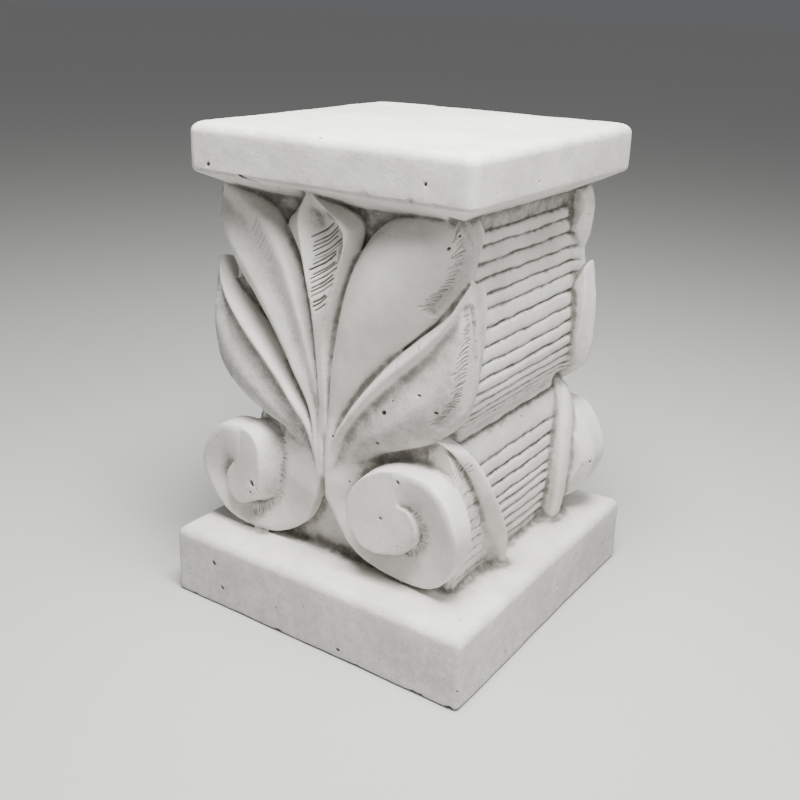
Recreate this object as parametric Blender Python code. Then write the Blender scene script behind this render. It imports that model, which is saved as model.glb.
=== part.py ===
"""Square cast garden pedestal: a base slab, a body carved with a palmette over two
scrolls on its front and back, ribbed flanks with a waist, and a top slab on a sloping neck.

Sizes are in millimetres and MM turns them into metres. The front looks along -Y,
the ribbed flanks look along X, and the origin is at the middle of the underside.
"""

from math import cos, pi, sin

import bmesh
import bpy
import numpy as np

MM = 0.001

# Slabs
BASE_WIDTH = 300.0
BASE_HEIGHT = 64.0
BASE_CORNER = 5.0
BASE_EDGE = 7.0
BASE_FOOT_EDGE = 3.0
SLAB_WIDTH = 264.0
SLAB_THICKNESS = 38.0
SLAB_CORNER = 9.0
SLAB_EDGE = 6.0
NECK_WIDTH = 204.0
NECK_DROP = 15.0
NECK_BURIED = 8.0
CORNER_STEPS = 4

# Body between the slabs
BODY_HEIGHT = 318.0
BODY_WIDTH = 260.0
BODY_DEPTH = 252.0
CORE_DEPTH = 190.0

# Ribs along both flanks
RIB_DEPTH = 2.6
RIB_SWELL = 1.0
GROOVE_WIDTH = 4.4
UPPER_RIBS = 14
UPPER_RIBS_FROM = 205.0
UPPER_RIBS_TO = 352.0
LOWER_RIBS = 8
LOWER_RIBS_FROM = 75.0
LOWER_RIBS_TO = 166.0
WAIST_GROOVE = 190.0
RIB_CROWDING = 1.18

# Carving
FRONT_SHIFT = -6.0
BACK_SHIFT = 3.0
BACK_PETALS = 0.97
BACK_SCROLLS = 1.05
LEFT_SAG = 17.0
LEFT_LOWER_PETAL = 0.98
PETAL_RIM = 9.0
PETAL_BACK = 78.0
PETAL_TAPER = 0.45
VOLUTE_REAR = 99.0
VOLUTE_BACK = 86.0
VOLUTE_TAPER = 9.0
STEM_RIM = 8.0
BAND_ROUNDING = 0.7
BAND_UNDERLAP = 4.0
BAND_END = (-3.0, -1.5, -2.0)
DISC_DEPTH = 128.5
DISC_LEAN = 0.075
DISC_FOOT = 97.0
DISC_TAPER = 0.9
RIGHT_DISC_FLARE = 3.0
LEFT_DISC_FLARE = 17.0

# The carving is drawn on a body of this size and stretched to the body's own.
DRAWN_WIDTH = 260.0
DRAWN_DEPTH = 252.0
DRAWN_HEIGHT = 318.0
DRAWN_FLOOR = 64.0
FLAT_ANGLE = 0.0002
SHARP_ANGLE = pi / 5

# Half width of the flank at each height: lower roll, waist, upper bulge.
FLANK = (
    (52, 104), (64, 104), (99, 108), (129, 109.5), (159, 108.5), (178, 106), (193, 100.5),
    (200, 100.5), (211, 107.5), (228, 112), (246, 113.5), (273, 111.5), (308, 107.5),
    (342, 103), (367, 98), (380, 96),
)

# Rows run from root to tip: inner edge across, height and depth, outer edge the same, swell.
UPPER_PETAL = (
    (0, 150, 108, 8, 150, 108, 2),
    (2, 205, 106, 16, 196, 107, 7),
    (8, 250, 105, 31, 229, 106, 12),
    (17, 293, 104, 52, 262, 104, 16),
    (29, 328, 103, 79, 286, 101, 18),
    (46, 356, 103, 105, 304, 98, 17),
    (72, 371, 103, 123, 322, 95, 14),
    (102, 376, 101, 128, 343, 94, 9),
    (118, 373, 97, 127, 360, 94, 3),
)
LOWER_PETAL = (
    (3, 146, 109, 30, 138, 98, 4),
    (9, 180, 107, 48, 168, 102, 8),
    (22, 205, 106, 68, 180, 104, 11),
    (38, 229, 104, 90, 190, 103, 13),
    (58, 252, 103, 110, 203, 101, 14),
    (80, 275, 101, 127, 219, 99, 14),
    (99, 294, 99, 134, 240, 98, 13),
    (114, 308, 97, 135, 265, 97, 10),
    (122, 316, 96, 133, 289, 96, 6),
    (127, 318, 95, 131, 303, 95, 2),
)
# Share of the petal's width, share of its swell there.
UPPER_SECTION = ((0, 0), (0.12, 0.6), (0.4, 1), (0.65, 0.85), (0.87, 0.4), (1, 0))
LEFT_UPPER_SECTION = (
    (0, 0), (0.08, 0.72), (0.17, 0.88), (0.36, 0.78), (0.56, 0.9), (0.68, 1), (0.79, 0.8), (1, 0),
)
LOWER_SECTION = (
    (0, 0), (0.06, 0.75), (0.12, 1.15), (0.17, 1.1), (0.25, 0.74), (0.42, 0.78), (0.62, 1),
    (0.85, 0.6), (1, 0),
)
# Height, left edge, left ridge, right ridge, right edge, edge depth, ridge depth, hollow.
LEAF = (
    (150, -4, -1.5, 1.5, 4, 106, 111, 0),
    (215, -7, -3, 3, 6, 105, 116, 0),
    (261, -14, -5, 4, 8, 103, 119, 0),
    (290, -19, -7, 10, 13, 102, 121, 3),
    (318, -26, -11, 19, 22, 102, 122, 8),
    (345, -39, -15, 25, 32, 103, 122, 11),
    (358, -27, -13, 22, 33, 106, 122, 8),
    (368, -14, -8, 12, 18, 112, 122, 3),
    (377, -3, -1.5, 1.5, 3, 118, 122, 0),
)
# Share of the way from ridge to ridge, share of the hollow's depth there.
LEAF_HOLLOW = ((0.4, 1.0), (0.8, 0.8))
LEAF_TAPER = 0.6

# The scroll's edge, across and height at every eighth of a turn from the stem to the hook.
RIGHT_SCROLL = (
    (2, 124), (28, 80), (72, 67), (116, 80), (136, 124), (114, 166), (72, 172), (40, 155),
    (29, 124), (45, 97), (72, 97), (89, 107), (94, 124), (87, 139), (75, 143),
)
LEFT_SCROLL = (
    (7, 124), (26, 88), (70, 67), (114, 77), (136, 120), (117, 160), (88, 167), (70, 157),
    (66, 132), (72, 107), (90, 93), (105, 99), (109, 113), (104, 125), (93, 134),
)
TURN_POINTS = 8
# Depth of the winding's outer and inner edge every eighth of a turn, stem to hook.
SCROLL_DEPTHS = (
    (116, 100), (112, 99), (111, 99), (117, 104), (123, 110), (125, 115), (122.8, 122.4),
)
# Height, edge at the middle and edge at the scroll, then the depths of the two.
RIGHT_STEM = (
    (215, 2, 26, 97, 96), (188, 2, 38, 106, 104), (163, 2, 42, 112, 110), (142, 2, 36, 115, 107),
)
LEFT_STEM = (
    (215, 2, 26, 97, 96), (190, 2, 38, 106, 102), (166, 2, 54, 112, 103), (145, 3, 62, 115, 101),
)

# Height, half width at the crest, then how far from the middle of the flank the roll ends
# and how far its hollow reaches towards the scroll.
FRONT_SHEATH = (
    (198, 99, 90, 101), (189, 113, 86, 100), (168, 121, 72, 99), (145, 125, 60, 96), (120, 126, 45, 94),
    (95, 124, 30, 92), (78, 121, 24, 92), (56, 118, 20, 92),
)
BACK_SHEATH = (
    (196, 99, 88, 101), (184, 114, 82, 101), (160, 121, 76, 101), (130, 123, 72, 101),
    (100, 122, 71, 101), (56, 117, 71, 96),
)
# The filling between scroll and petal, across and height.
WEB = ((20, 150), (98, 150), (103, 172), (100, 186), (74, 196), (40, 190), (20, 176))
WEB_FRONT = 99.0
WEB_BACK = 88.0
SHEATH_INSIDE = 84.0
SHEATH_HOLLOW = 12.0
HOLLOW_START = 0.42
# The roll's section: across from its crest, forward of where it ends.
SHEATH_ROLL = ((-7, 14), (-2, 9), (0, 4), (-3, 0), (-15, -3))


def smooth_rows(rows, count):
    """Rows read at even steps from smooth curves through the given ones."""
    rows = np.array(rows, dtype=float)
    padded = np.vstack([2 * rows[0] - rows[1], rows, 2 * rows[-1] - rows[-2]])
    result = []
    for place in np.linspace(0, len(rows) - 1, count):
        index = min(int(place), len(rows) - 2)
        t = place - index
        a, b, c, d = padded[index : index + 4]
        curve = b + 0.5 * t * (c - a + t * (2 * a - 5 * b + 4 * c - d + t * (3 * (b - c) + d - a)))
        result.append(curve)
    return result


def carved(across, depth, height):
    """A drawn point on the body's own size, as x, y, z with the front at -Y."""
    return (
        across * BODY_WIDTH / DRAWN_WIDTH,
        -depth * BODY_DEPTH / DRAWN_DEPTH,
        BASE_HEIGHT + (height - DRAWN_FLOOR) * BODY_HEIGHT / DRAWN_HEIGHT,
    )


def loft(name, rings):
    """A closed body through rings of as many points each, capped at both ends."""
    mesh = bmesh.new()
    layers = [[mesh.verts.new([value * MM for value in point]) for point in ring] for ring in rings]
    size = len(rings[0])
    for lower, upper in zip(layers, layers[1:]):
        for i in range(size):
            j = (i + 1) % size
            mesh.faces.new((lower[i], lower[j], upper[j], upper[i]))
    mesh.faces.new(layers[0])
    mesh.faces.new(layers[-1])
    mesh.normal_update()
    bmesh.ops.connect_verts_nonplanar(mesh, angle_limit=FLAT_ANGLE, faces=mesh.faces)
    bmesh.ops.recalc_face_normals(mesh, faces=mesh.faces)
    data = bpy.data.meshes.new(name)
    mesh.to_mesh(data)
    mesh.free()
    data.shade_smooth()
    data.set_sharp_from_angle(angle=SHARP_ANGLE)
    body = bpy.data.objects.new(name, data)
    bpy.context.scene.collection.objects.link(body)
    return body


def square_ring(width, corner, height):
    """A square with rounded corners at one height."""
    ring = []
    for quarter in range(4):
        for step in range(CORNER_STEPS):
            angle = (quarter + step / (CORNER_STEPS - 1)) * pi / 2
            centre = width / 2 - corner
            middle = (quarter + 0.5) * pi / 2
            ring.append((
                np.sign(cos(middle)) * centre + corner * cos(angle),
                np.sign(sin(middle)) * centre + corner * sin(angle),
                height,
            ))
    return ring


def base_slab():
    softened = BASE_EDGE * (1 - cos(pi / 4))
    return loft("base_slab", [
        square_ring(BASE_WIDTH - 2 * BASE_FOOT_EDGE, BASE_CORNER, 0),
        square_ring(BASE_WIDTH, BASE_CORNER, BASE_FOOT_EDGE),
        square_ring(BASE_WIDTH, BASE_CORNER, BASE_HEIGHT - BASE_EDGE),
        square_ring(BASE_WIDTH - 2 * softened, BASE_CORNER, BASE_HEIGHT - softened),
        square_ring(BASE_WIDTH - 2 * BASE_EDGE, BASE_CORNER, BASE_HEIGHT),
    ])


def top_slab():
    body_top = BASE_HEIGHT + BODY_HEIGHT
    top = body_top + SLAB_THICKNESS
    softened = SLAB_EDGE * (1 - cos(pi / 4))
    return loft("top_slab", [
        square_ring(NECK_WIDTH, SLAB_CORNER, body_top - NECK_DROP - NECK_BURIED),
        square_ring(NECK_WIDTH, SLAB_CORNER, body_top - NECK_DROP),
        square_ring(SLAB_WIDTH - 2 * softened, SLAB_CORNER, body_top),
        square_ring(SLAB_WIDTH, SLAB_CORNER, body_top + SLAB_EDGE),
        square_ring(SLAB_WIDTH, SLAB_CORNER, top - SLAB_EDGE),
        square_ring(SLAB_WIDTH - 2 * softened, SLAB_CORNER, top - softened),
        square_ring(SLAB_WIDTH - 2 * SLAB_EDGE, SLAB_CORNER, top),
    ])


def groove_heights():
    """Grooves stand closer together towards the waist and the base."""
    upper = [
        UPPER_RIBS_FROM + (UPPER_RIBS_TO - UPPER_RIBS_FROM) * (i / UPPER_RIBS) ** RIB_CROWDING
        for i in range(UPPER_RIBS + 1)
    ]
    lower = [
        LOWER_RIBS_FROM + (LOWER_RIBS_TO - LOWER_RIBS_FROM) * (i / LOWER_RIBS) ** RIB_CROWDING
        for i in range(LOWER_RIBS + 1)
    ]
    return lower + [WAIST_GROOVE] + upper


def flank_outline():
    """Half width and height up one flank, a V groove and a swelling rib in turn."""
    heights, widths = zip(*FLANK)
    outline = [(widths[0], heights[0])]
    grooves = groove_heights()
    for low, high in zip(grooves, grooves[1:] + [heights[-1]]):
        lip = min(GROOVE_WIDTH / 2, (high - low) / 3)
        outline.append((np.interp(low, heights, widths) - RIB_DEPTH, low))
        outline.append((np.interp(low + lip, heights, widths), low + lip))
        middle = (low + high) / 2
        outline.append((np.interp(middle, heights, widths) + RIB_SWELL, middle))
        outline.append((np.interp(high - lip, heights, widths), high - lip))
    first_lip = grooves[0] - GROOVE_WIDTH / 2
    outline.insert(1, (np.interp(first_lip, heights, widths), first_lip))
    return outline


def core():
    right = flank_outline()
    outline = right + [(-across, height) for across, height in reversed(right)]
    half = CORE_DEPTH / 2
    return loft("core", [
        [carved(across, side * half, height) for across, height in outline] for side in (1, -1)
    ])


def petal(name, rows, section, side, shift, width, sag=0.0, stations=13):
    """A swelling petal with a short rim, its back drawn in towards the core."""
    rings = []
    for i, row in enumerate(smooth_rows(rows, stations)):
        inner, outer, swell = row[0:3], row[3:6], row[6]
        drop = (0, sag * (i / (stations - 1)) ** 2, 0)
        inner = inner * (width, 1, 1) - drop
        outer = outer * (width, 1, 1) - drop
        ring = []
        for share, rise in section:
            across, height, depth = inner + (outer - inner) * share
            ring.append((across, depth + swell * rise, height))
        middle = (inner + outer) / 2
        for edge in (outer, inner):
            ring.append((edge[0], edge[2] - PETAL_RIM, edge[1]))
            drawn_in = edge + (middle - edge) * PETAL_TAPER
            ring.append((drawn_in[0], PETAL_BACK, drawn_in[1]))
        ring[-2:] = reversed(ring[-2:])
        rings.append([carved(side * across + shift, depth, height) for across, depth, height in ring])
    return loft(name, rings)


def leaf(shift, stations=13):
    """The pointed leaf between the petals, hollowed between its two ridges."""
    rings = []
    for row in smooth_rows(LEAF, stations):
        height, left, left_ridge, right_ridge, right, edge, ridge, hollow = row
        ring = [(left, edge), (left_ridge, ridge)]
        for share, sunk in LEAF_HOLLOW:
            ring.append((left_ridge + (right_ridge - left_ridge) * share, ridge - hollow * sunk))
        ring += [(right_ridge, ridge), (right, edge)]
        ring += [(right * LEAF_TAPER, PETAL_BACK), (left * LEAF_TAPER, PETAL_BACK)]
        rings.append([carved(across + shift, depth, height) for across, depth in ring])
    return loft("leaf", rings)


def towards(start, end, distance):
    """The point at a distance from start on the line to end."""
    line = end - start
    return start + line * (distance / np.hypot(*line))


def grown(scroll, growth):
    """The scroll's edge enlarged from the foot of the middle line."""
    return [(across * growth, DRAWN_FLOOR + (height - DRAWN_FLOOR) * growth) for across, height in scroll]


def winding(scroll, stem, side, shift, columns=3, steps=3):
    """The stem and the outer turn of the scroll, one band that rises as it winds."""
    shares = np.linspace(0, 1, columns + 1)
    rings = []
    for height, near, far, near_depth, far_depth in stem:
        ring = [
            (far + (near - far) * share, far_depth + (near_depth - far_depth) * share**BAND_ROUNDING, height)
            for share in shares
        ]
        ring.append((near, near_depth - STEM_RIM, height))
        ring.append((near, VOLUTE_BACK, height))
        ring.append((far, VOLUTE_BACK, height))
        rings.append(ring)
    edge = smooth_rows(scroll, steps * (len(scroll) - 1) + 1)
    depths = smooth_rows(SCROLL_DEPTHS, steps * (len(SCROLL_DEPTHS) - 1) + 1)
    for i, (outer_depth, inner_depth) in enumerate(depths):
        outer = edge[i]
        inner = towards(edge[i + steps * TURN_POINTS], outer, -BAND_UNDERLAP)
        ring = []
        for share in shares:
            across, height = inner + (outer - inner) * share
            ring.append((across, inner_depth + (outer_depth - inner_depth) * share**BAND_ROUNDING, height))
        drawn_in = towards(outer, inner, VOLUTE_TAPER)
        ring.append((outer[0], min(VOLUTE_REAR, outer_depth - STEM_RIM), outer[1]))
        ring.append((drawn_in[0], VOLUTE_BACK, drawn_in[1]))
        ring.append((inner[0], VOLUTE_BACK, inner[1]))
        rings.append(ring)
    rings.append([np.add(point, BAND_END) for point in rings[-1]])
    return loft("winding", [
        [carved(side * across + shift, depth, height) for across, depth, height in ring] for ring in rings
    ])


def disc(scroll, side, shift, flare, steps=3):
    """The inner turn of the scroll, a flat face that ends in the hook."""
    edge = smooth_rows(scroll, steps * (len(scroll) - 1) + 1)[steps * (len(scroll) - 1 - TURN_POINTS):]
    middle = sum(edge) / len(edge)
    face, foot, back = [], [], []
    for i, point in enumerate(edge):
        across, height = point
        face.append((across, DISC_DEPTH - DISC_LEAN * across, height))
        opening = max(0.0, sin(2 * pi * i / len(edge)))
        across, height = towards(point, middle, -flare * opening)
        foot.append((across, DISC_FOOT, height))
        across, height = middle + (np.array((across, height)) - middle) * DISC_TAPER
        back.append((across, VOLUTE_BACK, height))
    return loft("disc", [
        [carved(side * across + shift, depth, height) for across, depth, height in ring]
        for ring in (face, foot, back)
    ])


def web(side, shift):
    """The filling behind the gap between a scroll and the lower petal above it."""
    return loft("web", [
        [carved(side * across + shift, depth, height) for across, height in WEB]
        for depth in (WEB_BACK, WEB_FRONT)
    ])


def sheath(rows, side, stations=10):
    """The rounded roll behind a scroll, with a shallow hollow towards the scroll."""
    rings = []
    for height, crest, place, reach in smooth_rows(rows, stations):
        hollow = crest - SHEATH_HOLLOW
        ring = [(SHEATH_INSIDE, reach), (hollow, reach), (hollow, place + (reach - place) * HOLLOW_START)]
        ring += [(crest + across, place + forward) for across, forward in SHEATH_ROLL]
        ring.append((SHEATH_INSIDE, place + SHEATH_ROLL[-1][1]))
        rings.append([carved(side * across, depth, height) for across, depth in ring])
    return loft("sheath", rings)


def ornament(shift, petals_width, growth, sheath_rows):
    """Palmette, scrolls and sheaths of one face, drawn on the front."""
    pieces = [leaf(shift)]
    for side, upper_section, scroll, stem, flare, sag, lower in (
        (1, UPPER_SECTION, RIGHT_SCROLL, RIGHT_STEM, RIGHT_DISC_FLARE, 0, 1),
        (-1, LEFT_UPPER_SECTION, LEFT_SCROLL, LEFT_STEM, LEFT_DISC_FLARE, LEFT_SAG, LEFT_LOWER_PETAL),
    ):
        scroll = grown(scroll, growth)
        pieces.append(petal("upper_petal", UPPER_PETAL, upper_section, side, shift, petals_width))
        lower_width = petals_width * lower
        pieces.append(petal("lower_petal", LOWER_PETAL, LOWER_SECTION, side, shift, lower_width, sag))
        pieces.append(winding(scroll, stem, side, shift))
        pieces.append(disc(scroll, side, shift, flare))
        pieces.append(web(side, shift))
        pieces.append(sheath(sheath_rows, side))
    return pieces


def turn_to_back(pieces):
    for piece in pieces:
        for vertex in piece.data.vertices:
            vertex.co.x *= -1
            vertex.co.y *= -1


def unite(body, pieces, name):
    """One solid of the body and all the pieces, joined by one exact union."""
    group = bpy.data.collections.new("united")
    bpy.context.scene.collection.children.link(group)
    for piece in pieces:
        group.objects.link(piece)
        piece.hide_render = True
        piece.display_type = "WIRE"
    union = body.modifiers.new("union", "BOOLEAN")
    union.operation = "UNION"
    union.solver = "EXACT"
    union.operand_type = "COLLECTION"
    union.collection = group
    body.name = name
    return body


def cast_concrete():
    """Off-white cast concrete, dry and matt."""
    material = bpy.data.materials.new("cast_concrete")
    material.use_nodes = True
    shader = material.node_tree.nodes["Principled BSDF"]
    shader.inputs["Base Color"].default_value = (0.62, 0.61, 0.58, 1.0)
    shader.inputs["Roughness"].default_value = 0.85
    shader.inputs["Metallic"].default_value = 0.0
    return material


def build():
    for item in list(bpy.data.objects):
        bpy.data.objects.remove(item, do_unlink=True)
    back = ornament(BACK_SHIFT, BACK_PETALS, BACK_SCROLLS, BACK_SHEATH)
    turn_to_back(back)
    front = ornament(FRONT_SHIFT, 1.0, 1.0, FRONT_SHEATH)
    pedestal = unite(base_slab(), [top_slab(), core()] + front + back, "pedestal")
    pedestal.data.materials.append(cast_concrete())


build()
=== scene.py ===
# %% [markdown]
# # A cast concrete garden pedestal
#
# The real pedestal is one casting, 300 mm square and 420 mm high. Off-white concrete was
# poured into a mould taken from a master that somebody carved by hand, so every form is crisp
# in its drawing and a little soft at its edges, and the marks of the tools came through.
# This script models the same steps: it draws the forms, fuses them into one skin, cuts the
# tool marks, wears the surface, and then gives it the finish of dry concrete.

# %% Load the frame
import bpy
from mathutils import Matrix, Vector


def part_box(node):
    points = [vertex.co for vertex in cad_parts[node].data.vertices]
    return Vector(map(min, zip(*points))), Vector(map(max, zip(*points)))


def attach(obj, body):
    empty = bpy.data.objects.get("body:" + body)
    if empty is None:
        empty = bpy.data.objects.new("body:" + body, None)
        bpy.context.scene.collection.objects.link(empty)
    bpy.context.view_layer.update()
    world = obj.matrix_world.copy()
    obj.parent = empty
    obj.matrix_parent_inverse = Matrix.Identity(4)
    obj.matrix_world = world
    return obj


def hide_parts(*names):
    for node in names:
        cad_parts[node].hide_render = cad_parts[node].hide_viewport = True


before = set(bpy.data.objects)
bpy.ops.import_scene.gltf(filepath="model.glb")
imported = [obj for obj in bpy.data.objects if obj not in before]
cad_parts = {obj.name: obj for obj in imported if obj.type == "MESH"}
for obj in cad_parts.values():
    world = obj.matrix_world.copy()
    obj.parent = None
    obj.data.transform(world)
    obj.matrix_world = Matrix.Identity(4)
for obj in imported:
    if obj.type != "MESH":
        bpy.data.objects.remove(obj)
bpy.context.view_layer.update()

# %% Modules and units
from math import cos, pi, radians, sin

import bmesh
import bpy
import numpy as np
from mathutils import Matrix, Vector

MM = 0.001
low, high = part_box("pedestal")
DRAWN_SIZE = np.array((300.0, 300.0, 420.0))
FRAME_SIZE = np.array(high - low) / MM
STRETCH = FRAME_SIZE / DRAWN_SIZE
print("stretch from the drawing to the frame", STRETCH)

# %% [markdown]
# ## The camera
#
# The view is from a little above and to the right, so that both slabs show their tops and the
# front and one flank share the picture. A camera could be aimed by eye, but straight edges say
# more: the edges of two square slabs fix its place, its lens and its small roll.

# %% Camera
CAMERA_PLACE = (0.4666, -0.7094, 0.5124)
CAMERA_TURN = radians(33.98)
CAMERA_TILT = radians(90 - 21.56)
CAMERA_ROLL = radians(1.62)
LENS_MM = 45.63

camera = bpy.data.objects.new("camera", bpy.data.cameras.new("camera"))
bpy.context.scene.collection.objects.link(camera)
camera.data.lens = LENS_MM
turned = Matrix.Rotation(CAMERA_TURN, 4, "Z") @ Matrix.Rotation(CAMERA_TILT, 4, "X")
rolled = turned @ Matrix.Rotation(CAMERA_ROLL, 4, "Z")
camera.matrix_world = Matrix.Translation(CAMERA_PLACE) @ rolled
bpy.context.scene.camera = camera
print("camera", camera.location, "lens", camera.data.lens)

# %% [markdown]
# ## Curves from a few rows
#
# A carver sets a form out with a few lines and lets the eye run smoothly between them. The
# same is done here: a form is a short table of rows, and a Catmull-Rom curve runs through them.
# It passes through every row, which a Bezier or a B-spline with the same rows would not.

# %% Smooth rows
def smooth_rows(rows, count):
    """Rows read at even steps from smooth curves through the given ones."""
    rows = np.array(rows, dtype=float)
    padded = np.vstack([2 * rows[0] - rows[1], rows, 2 * rows[-1] - rows[-2]])
    place = np.linspace(0, len(rows) - 1, count)
    index = np.minimum(place.astype(int), len(rows) - 2)
    t = (place - index)[:, None]
    a, b, c, d = (padded[index + i] for i in range(4))
    return b + 0.5 * t * (c - a + t * (2 * a - 5 * b + 4 * c - d + t * (3 * (b - c) + d - a)))


print("halfway up a bump", smooth_rows([[0], [1], [0]], 5)[1])

# %% [markdown]
# ## Forms that overlap
#
# Each form is a closed loft through rings. They are allowed to overlap freely, as lumps of clay
# would, because one remesh fuses them later. So no form needs to know its neighbour's outline.

# %% Lofts
forms = []


def loft(rings, turned_round=False):
    """A closed form through rings of as many points each, kept for the fusing."""
    rings = np.array(rings, dtype=float)
    if turned_round:
        rings = rings * (-1, -1, 1)
    stations, size = rings.shape[:2]
    ring = np.arange(size)
    first = (np.arange(stations - 1) * size)[:, None]
    quads = np.stack([first + ring, first + np.roll(ring, -1)], axis=-1)
    quads = np.concatenate([quads, quads[:, :, ::-1] + size], axis=-1).reshape(-1, 4)
    caps = [list(range(size)), list(range((stations - 1) * size, stations * size))]
    forms.append((rings.reshape(-1, 3), quads.tolist() + caps))


def front(rings, side=1, shift=0.0):
    """Rings of across, depth, height as x, y, z, with the front at -Y."""
    rings = np.array(rings, dtype=float)
    return np.stack([side * rings[..., 0] + shift, -rings[..., 1], rings[..., 2]], axis=-1)


print("a point on the front", front([10, 112, 200]))

# %% [markdown]
# ## The two slabs
#
# Both are plain squares, struck off level while the concrete was wet. Their edges are rounded
# by the mould and then by years of knocks. A bevelled cube would do, but rings through a
# quarter circle let the sloping neck under the top slab be part of the same form.

# %% Slabs
BASE_WIDTH = 300.0
BASE_HEIGHT = 64.0
BASE_CORNER = 4.0
BASE_EDGE = 7.0
BASE_FOOT_EDGE = 4.0
SLAB_WIDTH = 264.0
SLAB_FROM = 382.0
SLAB_TO = 420.0
SLAB_CORNER = 9.0
SLAB_EDGE = 8.0
SLAB_LIP = 1.0
SLAB_LIP_HEIGHT = 2.5
NECK_WIDTH = 204.0
NECK_DROP = 15.0
NECK_BURIED = 45.0
NECK_FOOT_WIDTH = 184.0
ARC_STEPS = 6


def square_ring(width, corner, height):
    """A square with rounded corners at one height."""
    ring = []
    for quarter in range(4):
        middle = (quarter + 0.5) * pi / 2
        for step in range(ARC_STEPS + 1):
            angle = (quarter + step / ARC_STEPS) * pi / 2
            centre = width / 2 - corner
            ring.append((
                np.sign(cos(middle)) * centre + corner * cos(angle),
                np.sign(sin(middle)) * centre + corner * sin(angle),
                height,
            ))
    return ring


def rounded_edge(width, corner, edge, height, upward):
    """Rings over a quarter circle, from the face of the slab to its top or underside."""
    angles = [step / ARC_STEPS * pi / 2 for step in range(ARC_STEPS + 1)]
    rings = []
    for angle in angles:
        drawn_in, lowered = edge * (1 - cos(angle)), edge * (1 - sin(angle))
        rings.append(square_ring(width - 2 * drawn_in, corner, height - upward * lowered))
    return rings if upward > 0 else rings[::-1]


base_rings = rounded_edge(BASE_WIDTH, BASE_CORNER, BASE_FOOT_EDGE, 0, -1)
base_rings += rounded_edge(BASE_WIDTH, BASE_CORNER, BASE_EDGE, BASE_HEIGHT, 1)
loft(base_rings)

slab_rings = [square_ring(width, SLAB_CORNER, height) for width, height in (
    (NECK_FOOT_WIDTH, SLAB_FROM - NECK_DROP - NECK_BURIED),
    (NECK_WIDTH, SLAB_FROM - NECK_DROP),
    (SLAB_WIDTH - 2 * SLAB_LIP, SLAB_FROM),
    (SLAB_WIDTH, SLAB_FROM + SLAB_LIP_HEIGHT),
)]
slab_rings += rounded_edge(SLAB_WIDTH, SLAB_CORNER, SLAB_EDGE, SLAB_TO, 1)
loft(slab_rings)
print("slabs", len(forms), "forms")

# %% [markdown]
# ## Ribbed flanks
#
# On the flanks the carver cut level grooves by hand and left flat ribs between them. They
# crowd together where the flank curves in, at the waist and near the base. The grooves are
# narrow, they waver by about a millimetre, and each one has its own depth. A displacement
# texture could draw them, but a height that is worked out at each point keeps them crisp.

# %% Flanks
CORE_DEPTH = 95.0
FLANK = (
    (52, 104), (64, 104), (99, 108), (129, 109.5), (159, 108.5), (178, 106), (193, 100.5),
    (200, 100.5), (211, 107.5), (228, 112), (246, 113.5), (273, 111.5), (308, 107.5),
    (342, 103), (367, 98), (380, 96),
)
UPPER_GROOVES = (205, 211, 217, 225, 233, 244, 256, 269, 283, 297, 308, 320, 332, 344, 354)
LOWER_GROOVES = (75, 85, 95, 106, 116, 125, 139, 152, 166)
WAIST_GROOVE = 190
GROOVE_WIDTH = 4.0
GROOVE_DEPTH = 3.0
GROOVE_WAVER = 0.8
DEPTH_WAVER = 0.35
RIB_SWELL = 1.3
GROOVES_END = 80.0
GROOVES_GONE = 92.0
FLANK_STEP = 0.7
RAMP_RISE = 7.0
RAMP_DEPTHS = (74, 98)
RAMP_STARTS = (196, 215)
RAMP_ENDS = (372, 345)
CORNER_DRAW = 16.0
CORNER_DEPTHS = (76, CORE_DEPTH)
CORNER_STARTS = (140, 158)
CORNER_ENDS = (212, 196)

flank_rows = smooth_rows(FLANK, 400)
chance = np.random.RandomState(7)


def eased(value, start, end):
    """0 before start, 1 after end, smooth between them."""
    share = np.clip((value - start) / (end - start), 0, 1)
    return share * share * (3 - 2 * share)


def waver(place, amount):
    """A slow wander of a hand-cut line."""
    total = np.zeros_like(place)
    for length in (170.0, 70.0, 31.0):
        wave = np.sin(place / length * 2 * pi + chance.uniform(0, 2 * pi))
        total += wave * chance.uniform(0.2, 0.5)
    return total * amount


def flank(depth, heights):
    """Half width of one flank over a grid, grooves and ribs included, and the groove lines."""
    width = np.interp(heights, *flank_rows.T)[:, None] + np.zeros(len(depth))
    grooves = LOWER_GROOVES + (WAIST_GROOVE,) + UPPER_GROOVES
    cut = np.zeros_like(width)
    swell = np.zeros_like(width)
    lines = [groove + waver(depth, GROOVE_WAVER) for groove in grooves]
    end = eased(np.abs(depth), GROOVES_GONE, GROOVES_END)
    for line in lines:
        deep = GROOVE_DEPTH * chance.uniform(0.6, 1.15) * (1 + waver(depth, DEPTH_WAVER))
        away = np.abs(heights[:, None] - line) / (GROOVE_WIDTH / 2 * chance.uniform(0.8, 1.25))
        cut = np.maximum(cut, deep * np.clip(1 - away, 0, 1) ** 0.8)
    for below, above in zip(lines, lines[1:]):
        share = np.clip((heights[:, None] - below) / (above - below), 0, 1)
        swell = np.maximum(swell, RIB_SWELL * np.sin(pi * share) ** 0.6)
    ramp = RAMP_RISE * eased(depth, *RAMP_DEPTHS) * eased(heights, *RAMP_STARTS)[:, None]
    ramp *= eased(heights, *RAMP_ENDS)[:, None]
    corner = CORNER_DRAW * eased(np.abs(depth), *CORNER_DEPTHS)
    corner = corner * (eased(heights, *CORNER_STARTS) * eased(heights, *CORNER_ENDS))[:, None]
    return width + (swell - cut) * end + ramp - corner, np.array(lines)


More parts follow.
